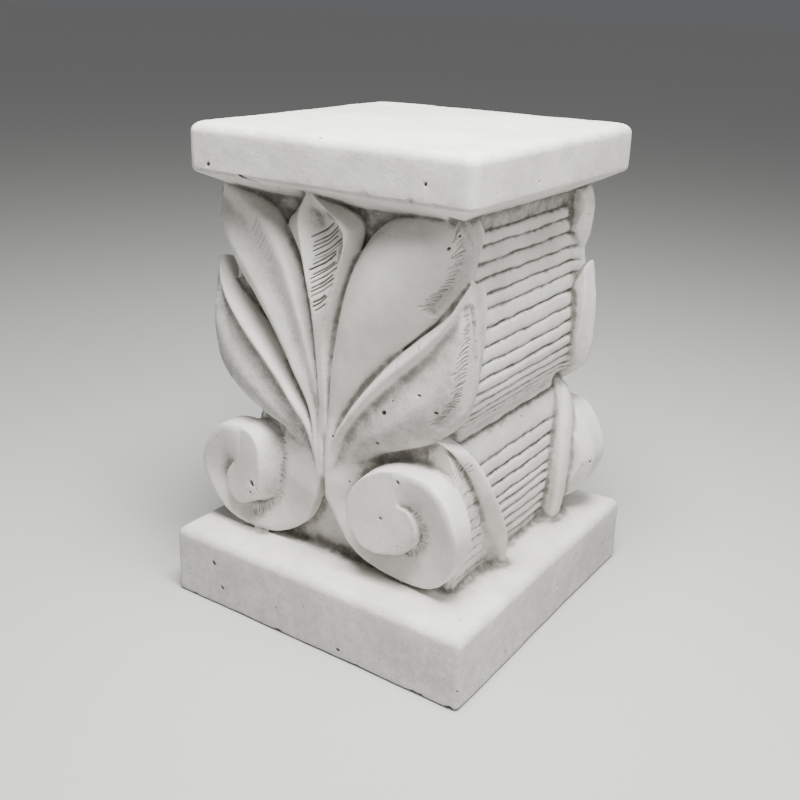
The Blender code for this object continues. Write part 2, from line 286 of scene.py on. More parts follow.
depths = np.linspace(-CORE_DEPTH, CORE_DEPTH, 77)
heights = np.arange(FLANK[0][0], FLANK[-1][0], FLANK_STEP)
right, right_lines = flank(depths, heights)
left, left_lines = flank(depths, heights)
core_rings = []
for i, height in enumerate(heights):
    right_side = np.stack([right[i], depths, np.full_like(depths, height)], axis=-1)
    left_side = np.stack([-left[i], -depths, np.full_like(depths, height)], axis=-1)
    core_rings.append(np.vstack([right_side, left_side]))
loft(core_rings)
print("flanks", right.shape, "widest", right.max())

# %% [markdown]
# ## Palmette
#
# Two petals on each side of a pointed leaf open like a hand. A petal is a strip between an
# inner and an outer edge: each row gives where both edges are, how deep they lie and how far
# the petal swells between them. Its section is a curve of its own. The back of each petal is
# drawn in towards the body, so that its end stands free as it does on the real one.

# %% Petals
FRONT_SHIFT = -6.0
BACK_SHIFT = 3.0
PALMETTE_SHIFT = -4.0
BACK_PETALS = 0.97
BACK_SCROLLS = 1.05
LEFT_SAG = 17.0
LEFT_LOWER_PETAL = 1.0
PETAL_RIM = 5.0
PETAL_BACK = 78.0
PETAL_TAPER = 0.45
STATIONS = 70
UPPER_PETAL = (
    (4, 136, 110, 8, 136, 110, 0.5),
    (0, 150, 112, 9, 150, 112, 3),
    (2, 205, 106, 17, 193, 107, 8),
    (6, 250, 105, 34, 222, 106, 13),
    (14, 293, 104, 56, 253, 104, 17),
    (26, 328, 103, 82, 279, 101, 19),
    (47, 355, 103, 105, 300, 98, 18),
    (78, 371, 103, 119, 320, 96, 15),
    (104, 375, 101, 124, 340, 95, 9),
    (115, 369, 98, 123, 356, 95, 3),
)
LEFT_UPPER_PETAL = (
    (4, 136, 110, 8, 136, 110, 0.5),
    (0, 150, 112, 9, 150, 112, 3),
    (3, 205, 106, 17, 193, 107, 8),
    (10, 250, 105, 34, 222, 106, 13),
    (20, 293, 104, 56, 253, 104, 17),
    (34, 328, 103, 80, 279, 101, 18),
    (53, 355, 103, 102, 300, 98, 17),
    (80, 371, 103, 116, 320, 95, 14),
    (104, 375, 101, 121, 340, 94, 9),
    (115, 369, 98, 121, 356, 94, 3),
)
LOWER_PETAL = (
    (8, 118, 110, 16, 110, 105, 1),
    (3, 146, 111, 30, 138, 96, 4),
    (9, 180, 107, 48, 168, 100, 8),
    (22, 205, 106, 68, 180, 104, 11),
    (38, 229, 104, 90, 190, 103, 13),
    (58, 252, 103, 110, 203, 101, 14),
    (79, 272, 101, 124, 219, 99, 14),
    (96, 288, 99, 130, 240, 98, 13),
    (109, 302, 98, 131, 265, 97, 10),
    (117, 315, 98, 130, 288, 97, 6),
    (123, 325, 97, 127, 306, 96, 2),
)
UPPER_SECTION = ((0, 0), (0.12, 0.6), (0.4, 1), (0.65, 0.85), (0.87, 0.4), (1, 0))
LEFT_UPPER_SECTION = (
    (0, 0), (0.08, 0.72), (0.17, 0.88), (0.36, 0.78), (0.56, 0.9), (0.68, 1), (0.79, 0.8),
    (1, 0),
)
LOWER_SECTION = (
    (0, 0), (0.06, 0.75), (0.12, 1.15), (0.17, 1.1), (0.25, 0.74), (0.42, 0.78), (0.62, 1),
    (0.85, 0.6), (1, 0),
)


def petal_edges(rows, width, sag, stations):
    """Inner edge, outer edge and swell along a petal."""
    rows = smooth_rows(rows, stations)
    drop = sag * np.linspace(0, 1, stations) ** 2
    inner = rows[:, 0:3] * (width, 1, 1)
    outer = rows[:, 3:6] * (width, 1, 1)
    inner[:, 1] -= drop
    outer[:, 1] -= drop
    return inner, outer, rows[:, 6]


def petal(rows, section, side, shift, width, sag=0.0):
    """Rings of one petal, the front of the section first, then its back."""
    section = smooth_rows(section, 26)
    rings = []
    for inner, outer, swell in zip(*petal_edges(rows, width, sag, STATIONS)):
        line = inner + (outer - inner) * section[:, :1]
        ring = [(across, depth + swell * rise, height)
                for (across, height, depth), rise in zip(line, section[:, 1])]
        middle = (inner + outer) / 2
        outer_back = outer + (middle - outer) * PETAL_TAPER
        inner_back = inner + (middle - inner) * PETAL_TAPER
        ring.append((outer[0], outer[2] - PETAL_RIM, outer[1]))
        ring.append((outer_back[0], PETAL_BACK, outer_back[1]))
        ring.append((inner_back[0], PETAL_BACK, inner_back[1]))
        ring.append((inner[0], inner[2] - PETAL_RIM, inner[1]))
        rings.append(ring)
    return front(rings, side, shift)


print("petals drawn with", len(UPPER_PETAL), "and", len(LOWER_PETAL), "rows")

# %% [markdown]
# ## The leaf
#
# The leaf in the middle is a narrow gouged channel between two sharp ridges, and it comes to a
# point under the slab. It is lofted like a petal, but its section has two ridges, so a row gives
# where each ridge stands and how deep the channel between them is.

# %% Leaf
LEAF = (
    (150, -4, -1.5, 1.5, 4, 106, 111, 0),
    (215, -7, -3, 3, 6, 105, 116, 0),
    (261, -14, -5, 4, 8, 103, 119, 0),
    (290, -19, -7, 10, 13, 102, 121, 3),
    (318, -29, -12, 19, 22, 102, 122, 9),
    (345, -43, -17, 26, 31, 103, 122, 12),
    (358, -32, -17, 20, 31, 106, 122, 9),
    (368, -20, -14, 7, 16, 112, 122, 3),
    (377, -10, -8.5, -5.5, -4, 118, 122, 0),
)
LEAF_TAPER = 0.6
LEFT_WALL = 2.6
RIGHT_WALL = 5


def leaf(shift):
    """The pointed leaf, hollowed between its two ridges."""
    rings = []
    for row in smooth_rows(LEAF, STATIONS):
        height, outer_left, left, right, outer_right, edge, ridge, hollow = row
        ring = [(outer_left, edge), (left, ridge)]
        for share in np.linspace(0.1, 0.9, 9):
            sunk = min(1.0, LEFT_WALL * share) * min(1.0, RIGHT_WALL * (1 - share))
            ring.append((left + (right - left) * share, ridge - hollow * sunk))
        ring += [(right, ridge), (outer_right, edge)]
        ring += [(outer_right * LEAF_TAPER, PETAL_BACK), (outer_left * LEAF_TAPER, PETAL_BACK)]
        rings.append([(across, depth, height) for across, depth in ring])
    return front(rings, 1, shift)


print("leaf drawn with", len(LEAF), "rows")

# %% [markdown]
# ## Scrolls
#
# The stem of the palmette parts at the foot and rolls up into two scrolls. A scroll is one
# spiral edge read twice: the band runs between the edge and the same edge one turn further
# in, and the flat disc with its hook fills the last turn. A mathematical spiral would be too
# regular, because the two scrolls were drawn by hand and differ, so each has its own points.

# %% Scroll drawing
RIGHT_SCROLL = (
    (-2, 124), (26, 80), (72, 67), (114, 80), (132, 124), (112, 166), (72, 172), (40, 155),
    (29, 124), (45, 97), (72, 97), (89, 107), (94, 124), (87, 139), (75, 143),
)
LEFT_SCROLL = (
    (11, 124), (29, 88), (70, 67), (114, 77), (136, 120), (117, 160), (88, 167), (70, 157),
    (66, 132), (72, 107), (90, 93), (105, 99), (109, 113), (104, 125), (93, 134),
)
TURN = 8
SCROLL_DEPTHS = (
    (116, 100), (112, 99), (111, 99), (117, 104), (123, 110), (125, 115), (122.8, 122.4),
)
RIGHT_STEM = (
    (215, 0, 26, 97, 94), (188, -2, 38, 106, 99), (163, -2, 42, 112, 101), (142, -2, 36, 115, 102),
)
LEFT_STEM = (
    (215, 4, 26, 97, 96), (190, 6, 38, 106, 102), (166, 6, 54, 112, 103), (145, 7, 62, 115, 101),
)
SCROLL_STEPS = 9
VOLUTE_REAR = 99.0
VOLUTE_BACK = 86.0
VOLUTE_TAPER = 9.0
STEM_RIM = 8.0
STEM_STEPS = 4
BAND_ROUNDING = 0.7
BAND_COLUMNS = 14
BAND_UNDERLAP = 4.0
BAND_EDGE = 2.2
DISC_DEPTH = 128.5
DISC_LEAN = 0.075
DISC_FOOT = 97.0
DISC_TAPER = 0.9
RIGHT_DISC_FLARE = 3.0
LEFT_DISC_FLARE = 17.0


def towards(start, end, distance):
    """The point at a distance from start on the line to end."""
    line = end - start
    return start + line * (distance / np.hypot(*line))


def grown(scroll, growth):
    """The scroll's edge enlarged from the foot of the middle line."""
    scroll = np.array(scroll, dtype=float)
    heights = BASE_HEIGHT + (scroll[:, 1] - BASE_HEIGHT) * growth
    return np.stack([scroll[:, 0] * growth, heights], axis=-1)


print("scrolls drawn with", len(RIGHT_SCROLL), "and", len(LEFT_SCROLL), "points")

# %% Scroll band
def winding(scroll, stem, side, shift):
    """The stem and the outer turn of the scroll, one band that rises as it winds."""
    shares = np.linspace(0, 1, BAND_COLUMNS)
    rings = []
    for height, near, far, near_depth, far_depth in smooth_rows(stem, STEM_STEPS * len(stem)):
        ring = []
        for share in shares:
            depth = far_depth + (near_depth - far_depth) * share**BAND_ROUNDING
            ring.append((far + (near - far) * share, depth, height))
        ring.append((near, near_depth - STEM_RIM, height))
        ring += [(near, VOLUTE_BACK, height), (far, VOLUTE_BACK, height)]
        rings.append(ring)
    edge = smooth_rows(scroll, SCROLL_STEPS * (len(scroll) - 1) + 1)
    depths = smooth_rows(SCROLL_DEPTHS, SCROLL_STEPS * (len(SCROLL_DEPTHS) - 1) + 1)
    for i, (outer_depth, inner_depth) in enumerate(depths):
        outer = edge[i]
        inner = towards(edge[i + SCROLL_STEPS * TURN], outer, -BAND_UNDERLAP)
        ring = []
        for share in shares:
            across, height = inner + (outer - inner) * share
            rounded = BAND_EDGE * max(0.0, share * 6 - 5) ** 2  # only over the last sixth
            depth = inner_depth + (outer_depth - inner_depth) * share**BAND_ROUNDING
            ring.append((across, depth - rounded, height))
        drawn_in = towards(outer, inner, VOLUTE_TAPER)
        ring.append((outer[0], min(VOLUTE_REAR, outer_depth - STEM_RIM), outer[1]))
        ring.append((drawn_in[0], VOLUTE_BACK, drawn_in[1]))
        ring.append((inner[0], VOLUTE_BACK, inner[1]))
        rings.append(ring)
    return front(rings, side, shift)


print("band", BAND_COLUMNS, "points across")


# %% Scroll disc
def disc(scroll, side, shift, flare):
    """The inner turn of the scroll, a flat face that ends in the hook."""
    edge = smooth_rows(scroll, SCROLL_STEPS * (len(scroll) - 1) + 1)
    edge = edge[SCROLL_STEPS * (len(scroll) - 1 - TURN):]
    middle = edge.mean(axis=0)
    face, foot, back = [], [], []
    for i, point in enumerate(edge):
        face.append((point[0], DISC_DEPTH - DISC_LEAN * point[0], point[1]))
        opening = max(0.0, sin(2 * pi * i / len(edge)))
        across, height = towards(point, middle, -flare * opening)
        foot.append((across, DISC_FOOT, height))
        across, height = middle + (np.array((across, height)) - middle) * DISC_TAPER
        back.append((across, VOLUTE_BACK, height))
    return front([face, foot, back], side, shift)


print("disc stands", DISC_DEPTH - DISC_FOOT, "mm proud")

# %% [markdown]
# ## Sheaths
#
# Behind each scroll a rounded roll closes the flank, with a hollow between it and the scroll.
# At the front the roll runs back along the flank as it nears the base, so that its crest draws
# a curve. It is lofted upward from a short section, which a table moves and broadens.

# %% Sheaths
FRONT_SHEATH = (
    (198, 99, 90, 101, 1), (189, 113, 86, 100, 1), (168, 121, 72, 99, 1), (145, 125, 60, 96, 1),
    (120, 126, 45, 94, 1), (95, 124, 30, 92, 1), (78, 121, 24, 92, 1), (56, 118, 20, 92, 1),
)
LEFT_SHEATH = (
    (186, 94, 80, 97, 1), (172, 101, 74, 97, 1), (158, 110, 66, 97, 1.2), (142, 120, 57, 96, 1.4),
    (120, 126, 45, 94, 1.5), (95, 124, 30, 92, 1.5), (78, 121, 24, 92, 1.5), (56, 118, 20, 92, 1.5),
)
BACK_SHEATH = (
    (196, 99, 88, 101, 1), (184, 114, 80, 101, 1.5), (160, 121, 73, 101, 2),
    (130, 123, 69, 101, 2.1), (100, 122, 69, 101, 2), (56, 117, 69, 96, 1.8),
)
WEB = ((20, 150), (98, 150), (103, 172), (100, 186), (74, 196), (40, 190), (20, 176))
LEFT_WEB = 0.8
WEB_FRONT = 99.0
WEB_BACK = 88.0
SHEATH_INSIDE = 84.0
SHEATH_HOLLOW = 12.0
HOLLOW_START = 0.42
HOLLOW_PUSH = 0.4
SHEATH_ROLL = ((-7, 14), (-2, 9), (0, 4), (-3, 0), (-15, -3))


def sheath(rows, side):
    """The rounded roll behind a scroll, with a shallow hollow towards the scroll."""
    rings = []
    for height, crest, place, reach, broad in smooth_rows(rows, STATIONS):
        hollow = crest - SHEATH_HOLLOW
        start = place + (reach - place) * max(HOLLOW_START, HOLLOW_PUSH * broad)
        section = [(hollow, reach), (hollow, start)]
        section += [(crest + across, place + forward * broad) for across, forward in SHEATH_ROLL]
        ring = [(SHEATH_INSIDE, reach)] + smooth_rows(section, 24).tolist()
        ring.append((SHEATH_INSIDE, place + SHEATH_ROLL[-1][1]))
        rings.append([(across, depth, height) for across, depth in ring])
    return front(rings, side)


print("sheath hollows are", SHEATH_HOLLOW, "mm deep")


# %% Front and back ornament
def ornament(shift, petals_width, growth, sheaths, turned_round):
    """Palmette, scrolls and sheaths of one face, drawn on the front."""
    axis = shift + PALMETTE_SHIFT
    loft(leaf(axis), turned_round)
    for side, upper, upper_section, scroll, stem, flare, sag, lower in (
        (1, UPPER_PETAL, UPPER_SECTION, RIGHT_SCROLL, RIGHT_STEM, RIGHT_DISC_FLARE, 0, 1),
        (-1, LEFT_UPPER_PETAL, LEFT_UPPER_SECTION, LEFT_SCROLL, LEFT_STEM, LEFT_DISC_FLARE,
         LEFT_SAG, LEFT_LOWER_PETAL),
    ):
        scroll = grown(scroll, growth)
        lower_width = petals_width * lower
        loft(petal(upper, upper_section, side, axis, petals_width), turned_round)
        loft(petal(LOWER_PETAL, LOWER_SECTION, side, axis, lower_width, sag), turned_round)
        loft(winding(scroll, stem, side, shift), turned_round)
        loft(disc(scroll, side, shift, flare), turned_round)
        narrow = 1 if side > 0 else LEFT_WEB
        web = [
            [(across * narrow, depth, height) for across, height in WEB]
            for depth in (WEB_BACK, WEB_FRONT)
        ]
        loft(front(web, side, shift), turned_round)
        loft(sheath(sheaths[side], side), turned_round)


ornament(FRONT_SHIFT, 1.0, 1.0, {1: FRONT_SHEATH, -1: LEFT_SHEATH}, False)
ornament(BACK_SHIFT, BACK_PETALS, BACK_SCROLLS, {1: BACK_SHEATH, -1: BACK_SHEATH}, True)
print("all forms", len(forms))

# %% [markdown]
# ## One skin
#
# A voxel remesh turns the heap of forms into the single skin that a casting has. A Boolean
# union would keep razor-sharp creases, while the remesh and two smoothing passes leave the
# softness of poured concrete. A cloud texture then lets the level faces wander by a fraction
# of a millimetre, as hand-floated concrete does.

# %% Fuse the forms
SKIN_VOXEL = 1.2
SOFTENING_PASSES = 2
SOFTENING = 0.5
WANDERS = ((110.0, 1.6), (40.0, 0.9), (11.0, 0.35))


def mesh_object(name, points, faces):
    """A piece made of drawn points, stretched to the frame's box."""
    mesh = bpy.data.meshes.new(name)
    mesh.from_pydata((points * STRETCH * MM).tolist(), [], faces)
    piece = bpy.data.objects.new(name, mesh)
    bpy.context.scene.collection.objects.link(piece)
    return piece


def apply_modifiers(piece):
    """Keeps what the modifiers made as the piece's own mesh."""
    bpy.context.view_layer.update()
    shown = piece.evaluated_get(bpy.context.evaluated_depsgraph_get())
    made = bpy.data.meshes.new_from_object(shown)
    piece.modifiers.clear()
    piece.data = made


points, faces, count = [], [], 0
for form_points, form_faces in forms:
    points.append(form_points)
    faces += [[corner + count for corner in face] for face in form_faces]
    count += len(form_points)
pedestal = mesh_object("cast_pedestal", np.vstack(points), faces)
remesh = pedestal.modifiers.new("fuse", "REMESH")
remesh.mode = "VOXEL"
remesh.voxel_size = SKIN_VOXEL * MM
soften = pedestal.modifiers.new("soften", "SMOOTH")
soften.factor = SOFTENING
soften.iterations = SOFTENING_PASSES
for size, amount in WANDERS:
    cloud = bpy.data.textures.new("wander", "CLOUDS")
    cloud.noise_scale = size * MM
    wander = pedestal.modifiers.new("wander", "DISPLACE")
    wander.texture = cloud
    wander.texture_coords = "LOCAL"
    wander.strength = amount * MM
apply_modifiers(pedestal)
print("skin", len(pedestal.data.vertices), "points")

# %% [markdown]
# ## Marks of the tools
#
# The master was roughened with a small gouge: rows of slanting strokes in the hollow of the
# leaf, inside the rims of the petals, and between each scroll and its sheath. Each mark is a
# line on one face of the block with a width and a depth in millimetres. Cutting by moving the
# points of the skin keeps the marks in the mesh, so they show in any light and in any export.

# %% Marks and where they cut
FACES = {
    "front": ((1, 0, 0), (0, -1, 0)),
    "back": ((-1, 0, 0), (0, 1, 0)),
    "right": ((0, 1, 0), (1, 0, 0)),
    "left": ((0, -1, 0), (-1, 0, 0)),
}
LEAST_FACING = 0.2
LEAST_REACH = 86.0
hollows, strokes, stain_and_shade_lines = [], [], []


def read_skin(piece):
    """Points in drawn millimetres and normals."""
    mesh = piece.data
    points = np.empty(len(mesh.vertices) * 3)
    mesh.vertices.foreach_get("co", points)
    normals = np.empty(len(points))
    mesh.vertex_normals.foreach_get("vector", normals)
    return points.reshape(-1, 3) / MM / STRETCH, normals.reshape(-1, 3)


def cut_depth(marks, points, normals, wider=0.0):
    """How deep the marks cut at each point, in millimetres."""
    cut = np.zeros(len(points))
    for name, (across, outward) in FACES.items():
        seen = np.flatnonzero((normals @ outward > LEAST_FACING) & (points @ outward > LEAST_REACH))
        place = np.stack([points[seen] @ across, points[seen, 2]], axis=-1)
        for face, line, width, depth in marks:
            if face != name:
                continue
            reach = width + wider
            inside = (place > line.min(axis=0) - reach) & (place < line.max(axis=0) + reach)
            near = np.flatnonzero(inside.all(axis=1))
            away = np.full(len(near), np.inf)
            for start, end in zip(line, line[1:]):
                leg = end - start
                share = np.clip((place[near] - start) @ leg / (leg @ leg), 0, 1)
                aside = place[near] - start - share[:, None] * leg
                away = np.minimum(away, np.hypot(*aside.T))
            deep = depth * np.clip(1 - (away / reach) ** 2, 0, 1)
            cut[seen[near]] = np.maximum(cut[seen[near]], deep)
    return cut


print("marks can lie on", *FACES)

# %% Strokes of the gouge
STROKE_WIDTH = 0.6
STROKE_DEPTH = 0.9
STROKE_PITCH = 2.8
STROKE_BOW = 0.04
LEAF_STROKES = 17
LEAF_FOOT = 286
LEAF_PITCH = 3.5
LEAF_SLOPE = 0.75
LEAF_REACH = ((286, 303, 322, 345), (12, 20, 27, 20))
LEAF_LEFT = -18
LEAF_STROKE_WIDTH = 0.8
LEAF_STROKE_DEPTH = 1.4
FOLD_STROKES = 9
FOLD_STROKE_DEPTH = 0.6
RIM_REACH = 9.0
RIM_SLANT = 130
SHEATH_LINE = ((-99, 172), (-92, 148), (-82, 125), (-74, 105), (-66, 92))
SHEATH_PITCH = 3.8
SHEATH_REACH = 13.0
SHEATH_SLANT = 115
HOOK_PITCH = 3.0
HOOK_REACH = 6.0
HOOK_SLANT = -80
HOOK_SPREAD = {1: 1.1, -1: 1.5}
HOOK_PART = {1: slice(3, 7), -1: slice(0, 4)}
RIM_HOLLOW_WIDTH = 6.0
RIM_HOLLOW_DEPTH = 3.0


def stroke(face, start, end, width=STROKE_WIDTH, depth=STROKE_DEPTH):
    """One slightly bowed cut, no two the same."""
    start, end = np.array(start, dtype=float), np.array(end, dtype=float)
    start += chance.normal(0, 0.4, 2)
    end += chance.normal(0, 0.4, 2)
    leg = end - start
    middle = (start + end) / 2 + np.array((leg[1], -leg[0])) * chance.normal(STROKE_BOW, 0.02)
    line = smooth_rows([start, middle, end], 5)
    width *= chance.uniform(0.75, 1.3)
    strokes.append((face, line, width, depth * chance.uniform(0.55, 1.15)))


def strokes_along(face, line, pitch, length, slant):
    """A row of strokes that start on a line and lean away from it by the slant in degrees."""
    line = smooth_rows(line, 80)
    legs = np.diff(line, axis=0)
    run = np.concatenate([[0], np.cumsum(np.hypot(*legs.T))])
    place = 0.0
    while place < run[-1]:
        start = np.array([np.interp(place, run, line[:, i]) for i in range(2)])
        leg = legs[min(np.searchsorted(run, place), len(legs) - 1)]
        angle = np.arctan2(leg[1], leg[0]) + radians(slant + chance.normal(0, 5))
        far = start + np.array((cos(angle), sin(angle))) * length * chance.uniform(0.55, 1.15)
        stroke(face, start, far)
        place += pitch * chance.uniform(0.65, 1.4)


def petal_line(rows, places, side, shift, width, sag=0.0):
    """A line on a petal through places given as share along it and share across it."""
    inner, outer, _ = petal_edges(rows, width, sag, 101)
    line = []
    for along, over in places:
        i = int(round(along * 100))
        spot = inner[i] + (outer[i] - inner[i]) * over
        line.append((side * spot[0] + shift, spot[1]))
    return smooth_rows(line, 24)


print("strokes are", STROKE_WIDTH, "mm wide and up to", STROKE_DEPTH, "mm deep")

# %% [markdown]
# ## Laying out strokes, stains and painted shade
#
# The strokes follow the rims of the petals, fill the leaf and ring the hooks of the scrolls.
# Darker marks go in the same hollows, under the petals, at the ends of the ribs, and in a wide
# band low on each face that makes it darker towards the foot. Inside the rims, under the lower
# petals and in the fold of the left upper petal they paint shade as well as dirt.

# %% Lines of strokes, stains and painted shade
UPPER_RIM = (
    (0.64, 0.9), (0.73, 0.87), (0.82, 0.84), (0.89, 0.76), (0.935, 0.6), (0.955, 0.35),
    (0.95, 0.15),
)
LOWER_RIM = ((0.53, 0.86), (0.64, 0.87), (0.73, 0.86), (0.82, 0.82), (0.89, 0.74), (0.945, 0.6))
LOWER_UNDERSIDE = ((0.22, 0.6), (0.4, 0.68), (0.6, 0.78), (0.78, 0.84))
LEFT_FOLD = ((0.5, 0.4), (0.7, 0.45), (0.88, 0.5))
RIB_ENDS = ((-92, 204), (-90, 285), (-90, 366))
# Widths of the darker marks; at the rims, the underside and the fold they are painted shade as well
# as stains.
RIM_SHADE_AND_STAIN = 7.0
UNDERSIDE_SHADE_AND_STAIN = 28.0
FOLD_SHADE_AND_STAIN = 9.0
HOOK_STAIN = 11.0
RIB_END_STAIN = 10.0
FOOT_BAND_LINE = ((-150.0, 22.0), (150.0, 22.0))
FOOT_BAND_REACH = 52.0
FOOT_BAND_DARKNESS = 0.85
for face, face_shift, width in (("front", FRONT_SHIFT, 1.0), ("back", BACK_SHIFT, BACK_PETALS)):
    shift = face_shift + PALMETTE_SHIFT
    for side, upper, sag, lower in (
        (1, UPPER_PETAL, 0, 1), (-1, LEFT_UPPER_PETAL, LEFT_SAG, LEFT_LOWER_PETAL),
    ):
        upper_rim = petal_line(upper, UPPER_RIM, side, shift, width)
        lower_rim = petal_line(LOWER_PETAL, LOWER_RIM, side, shift, width * lower, sag)
        for rim in (upper_rim, lower_rim):
            hollows.append((face, rim, RIM_HOLLOW_WIDTH, RIM_HOLLOW_DEPTH))
            strokes_along(face, rim, STROKE_PITCH, RIM_REACH, side * RIM_SLANT)
            # Along each rim: dirt with the painted shade inside the raised rim.
            stain_and_shade_lines.append((face, rim, RIM_SHADE_AND_STAIN, 1.0))
        # Under the lower petal: painted shade on its downward-facing part, with some dirt.
        underside = petal_line(LOWER_PETAL, LOWER_UNDERSIDE, side, shift, width * lower, sag)
        stain_and_shade_lines.append((face, underside, UNDERSIDE_SHADE_AND_STAIN, 1.0))
    # In the fold of the left upper petal: painted shade, with some dirt.
    fold = petal_line(LEFT_UPPER_PETAL, LEFT_FOLD, -1, shift, width)
    stain_and_shade_lines.append((face, fold, FOLD_SHADE_AND_STAIN, 0.6))
    for i in range(LEAF_STROKES):
        height = LEAF_FOOT + i * LEAF_PITCH
        left_end = LEAF_LEFT + 0.25 * max(0, 300 - height)
        reach = np.interp(height, *LEAF_REACH) * chance.uniform(0.55, 1.1)
        start = (left_end + face_shift - FRONT_SHIFT + chance.uniform(0, 3), height)
        end = (start[0] + reach, height + LEAF_SLOPE * reach)
        stroke(face, start, end, LEAF_STROKE_WIDTH, LEAF_STROKE_DEPTH)
    for i in range(FOLD_STROKES):
        spot = np.array((-84 + 2.2 * i + chance.normal(0, 2), 340 - 3.2 * i))
        stroke(face, spot, spot + (9, 12), depth=FOLD_STROKE_DEPTH)
for face, side in (("right", 1), ("left", -1)):
    hollow_line = np.array(SHEATH_LINE) * (side, 1)
    strokes_along(face, hollow_line, SHEATH_PITCH, SHEATH_REACH, side * SHEATH_SLANT)
    rib_ends = smooth_rows(np.array(RIB_ENDS) * (side, 1), 12)
    stain_and_shade_lines.append((face, rib_ends, RIB_END_STAIN, 1.0))
for face, shift, growth in (("front", FRONT_SHIFT, 1.0), ("back", BACK_SHIFT, BACK_SCROLLS)):
    for side, scroll in ((1, RIGHT_SCROLL), (-1, LEFT_SCROLL)):
        hook = grown(scroll, growth)[-TURN:]
        hook = hook.mean(axis=0) + (hook - hook.mean(axis=0)) * HOOK_SPREAD[side]
        hook = hook[HOOK_PART[side]] * (side, 1) + (shift, 0)
        strokes_along(face, hook, HOOK_PITCH, HOOK_REACH, side * HOOK_SLANT)
        stain_and_shade_lines.append((face, hook, HOOK_STAIN, 1.0))
# A wide band on every face, darker towards the foot.
for face in FACES:
    stain_and_shade_lines.append((face, np.array(FOOT_BAND_LINE), FOOT_BAND_REACH, FOOT_BAND_DARKNESS))
print(len(hollows), "hollows,", len(strokes), "strokes and", len(stain_and_shade_lines), "stain_and_shade_lines")

# %% [markdown]
# ## Blow holes and chips
#
# Air bubbles that sat against the mould left round holes two to five millimetres wide. The
# corners and edges of the slabs took knocks. Both are cut into the mesh where the eye can
# tell them apart, and the finest pores are left to the finish.

# %% Holes
HOLES = (
    ("front", 100, 350, 1.3), ("front", 80, 274, 1.4), ("front", 62, 256, 1.4),
    ("front", 82, 236, 1.3), ("front", 97, 225, 1.5), ("front", 50, 214, 2.0),
    ("front", 71, 164, 1.5), ("front", 56, 128, 1.3), ("front", 45, 187, 1.4),
    ("front", -82, 117, 2.4), ("front", -84, 108, 1.3), ("front", -109, 389, 1.8),
    ("front", 93, 397, 1.4), ("front", -105, 42, 2.0), ("front", -96, 20, 1.7),
    ("front", 34, 9, 1.6), ("right", -40, 392, 1.3), ("right", 20, 30, 1.5),
    ("right", 96, 120, 1.2), ("right", 61, 322, 1.3),
    ("back", 70, 300, 1.6), ("back", -60, 240, 1.4), ("back", -90, 30, 2.0), ("back", 40, 400, 1.5),
    ("left", -30, 45, 1.8), ("left", 50, 395, 1.5), ("left", 80, 22, 1.4), ("left", -100, 398, 1.3),
)
HOLE_LENGTH = 0.7
HOLE_DEPTH = 1.5
CRACK = ((-77, 384), (-72, 382.5), (-67, 381), (-61, 380))
CRACK_WIDTH = 1.1
CRACK_DEPTH = 2.2
holes = []
for face, across, height, radius in HOLES:
    leaning = chance.uniform(0, pi)
    reach = np.array((cos(leaning), sin(leaning))) * radius * HOLE_LENGTH / 2
    line = np.array((across, height)) + np.array((-reach, reach))
    holes.append((face, line, radius, radius * HOLE_DEPTH))
holes.append(("front", np.array(CRACK, dtype=float), CRACK_WIDTH, CRACK_DEPTH))
print("holes and cracks", len(holes))


# %% Cut into the skin
# The mesh is split twice near a fine mark, so that its edge is sharp where it has to be.
FINE_MARGIN = 1.4
FINE_SPLITS = 2


def refine(piece, chosen):
    """Splits the faces around the chosen points."""
    skin = bmesh.new()
    skin.from_mesh(piece.data)
    skin.verts.ensure_lookup_table()
    edges = {edge for i in np.flatnonzero(chosen) for edge in skin.verts[i].link_edges}
    bmesh.ops.subdivide_edges(skin, edges=list(edges), cuts=1, use_grid_fill=True)
    skin.to_mesh(piece.data)
    skin.free()


fine = strokes + holes
for _ in range(FINE_SPLITS):
    skin_points, skin_normals = read_skin(pedestal)
    refine(pedestal, cut_depth(fine, skin_points, skin_normals, FINE_MARGIN) > 0)
skin_points, skin_normals = read_skin(pedestal)
stroke_cut = cut_depth(strokes, skin_points, skin_normals)
hole_cut = cut_depth(holes, skin_points, skin_normals)
sink = cut_depth(hollows, skin_points, skin_normals) + stroke_cut + hole_cut
print("cut", int((sink > 0).sum()), "of", len(sink), "points")

# %% Knocked edges
CHIPS = 90
CHIP_SIZES = (0.5, 3.0)
CHIP_BITE = 0.4
EDGES = (
    (BASE_WIDTH, 0), (BASE_WIDTH, BASE_HEIGHT), (SLAB_WIDTH, SLAB_FROM), (SLAB_WIDTH, SLAB_TO),
)
for _ in range(CHIPS):
    width, height = EDGES[chance.randint(len(EDGES))]
    run = chance.uniform(-width / 2, width / 2)
    edge = [run, chance.choice((-1, 1)) * width / 2]
    chance.shuffle(edge)
    centre = np.array((*edge, height)) + chance.normal(0, 1.0, 3)
    radius = chance.uniform(*CHIP_SIZES) + 1.5
    away = np.linalg.norm(skin_points - centre, axis=1)
    sink += CHIP_BITE * np.clip(radius - away, 0, None)

skin_points -= skin_normals * sink[:, None]
pedestal.data.vertices.foreach_set("co", (skin_points * STRETCH * MM).ravel())
pedestal.data.update()
print("deepest cut", sink.max(), "mm")

# %% [markdown]
# ## Where the dirt and the painted shade sit
#
# Rain washes the high places clean and leaves grey dirt in the low ones, and the same low places
# are darkened in colour for the shade that falls into them, so the darkening is partly dirt and
# partly painted shade. How low a point lies is measured on the mesh: the skin is smoothed, and a
# point that the smooth skin floats above is in a hollow. A few passes find grooves and joints,
# many passes find the broad recesses. Ambient occlusion would also find them, but this is worked
# out once and holds from any side.

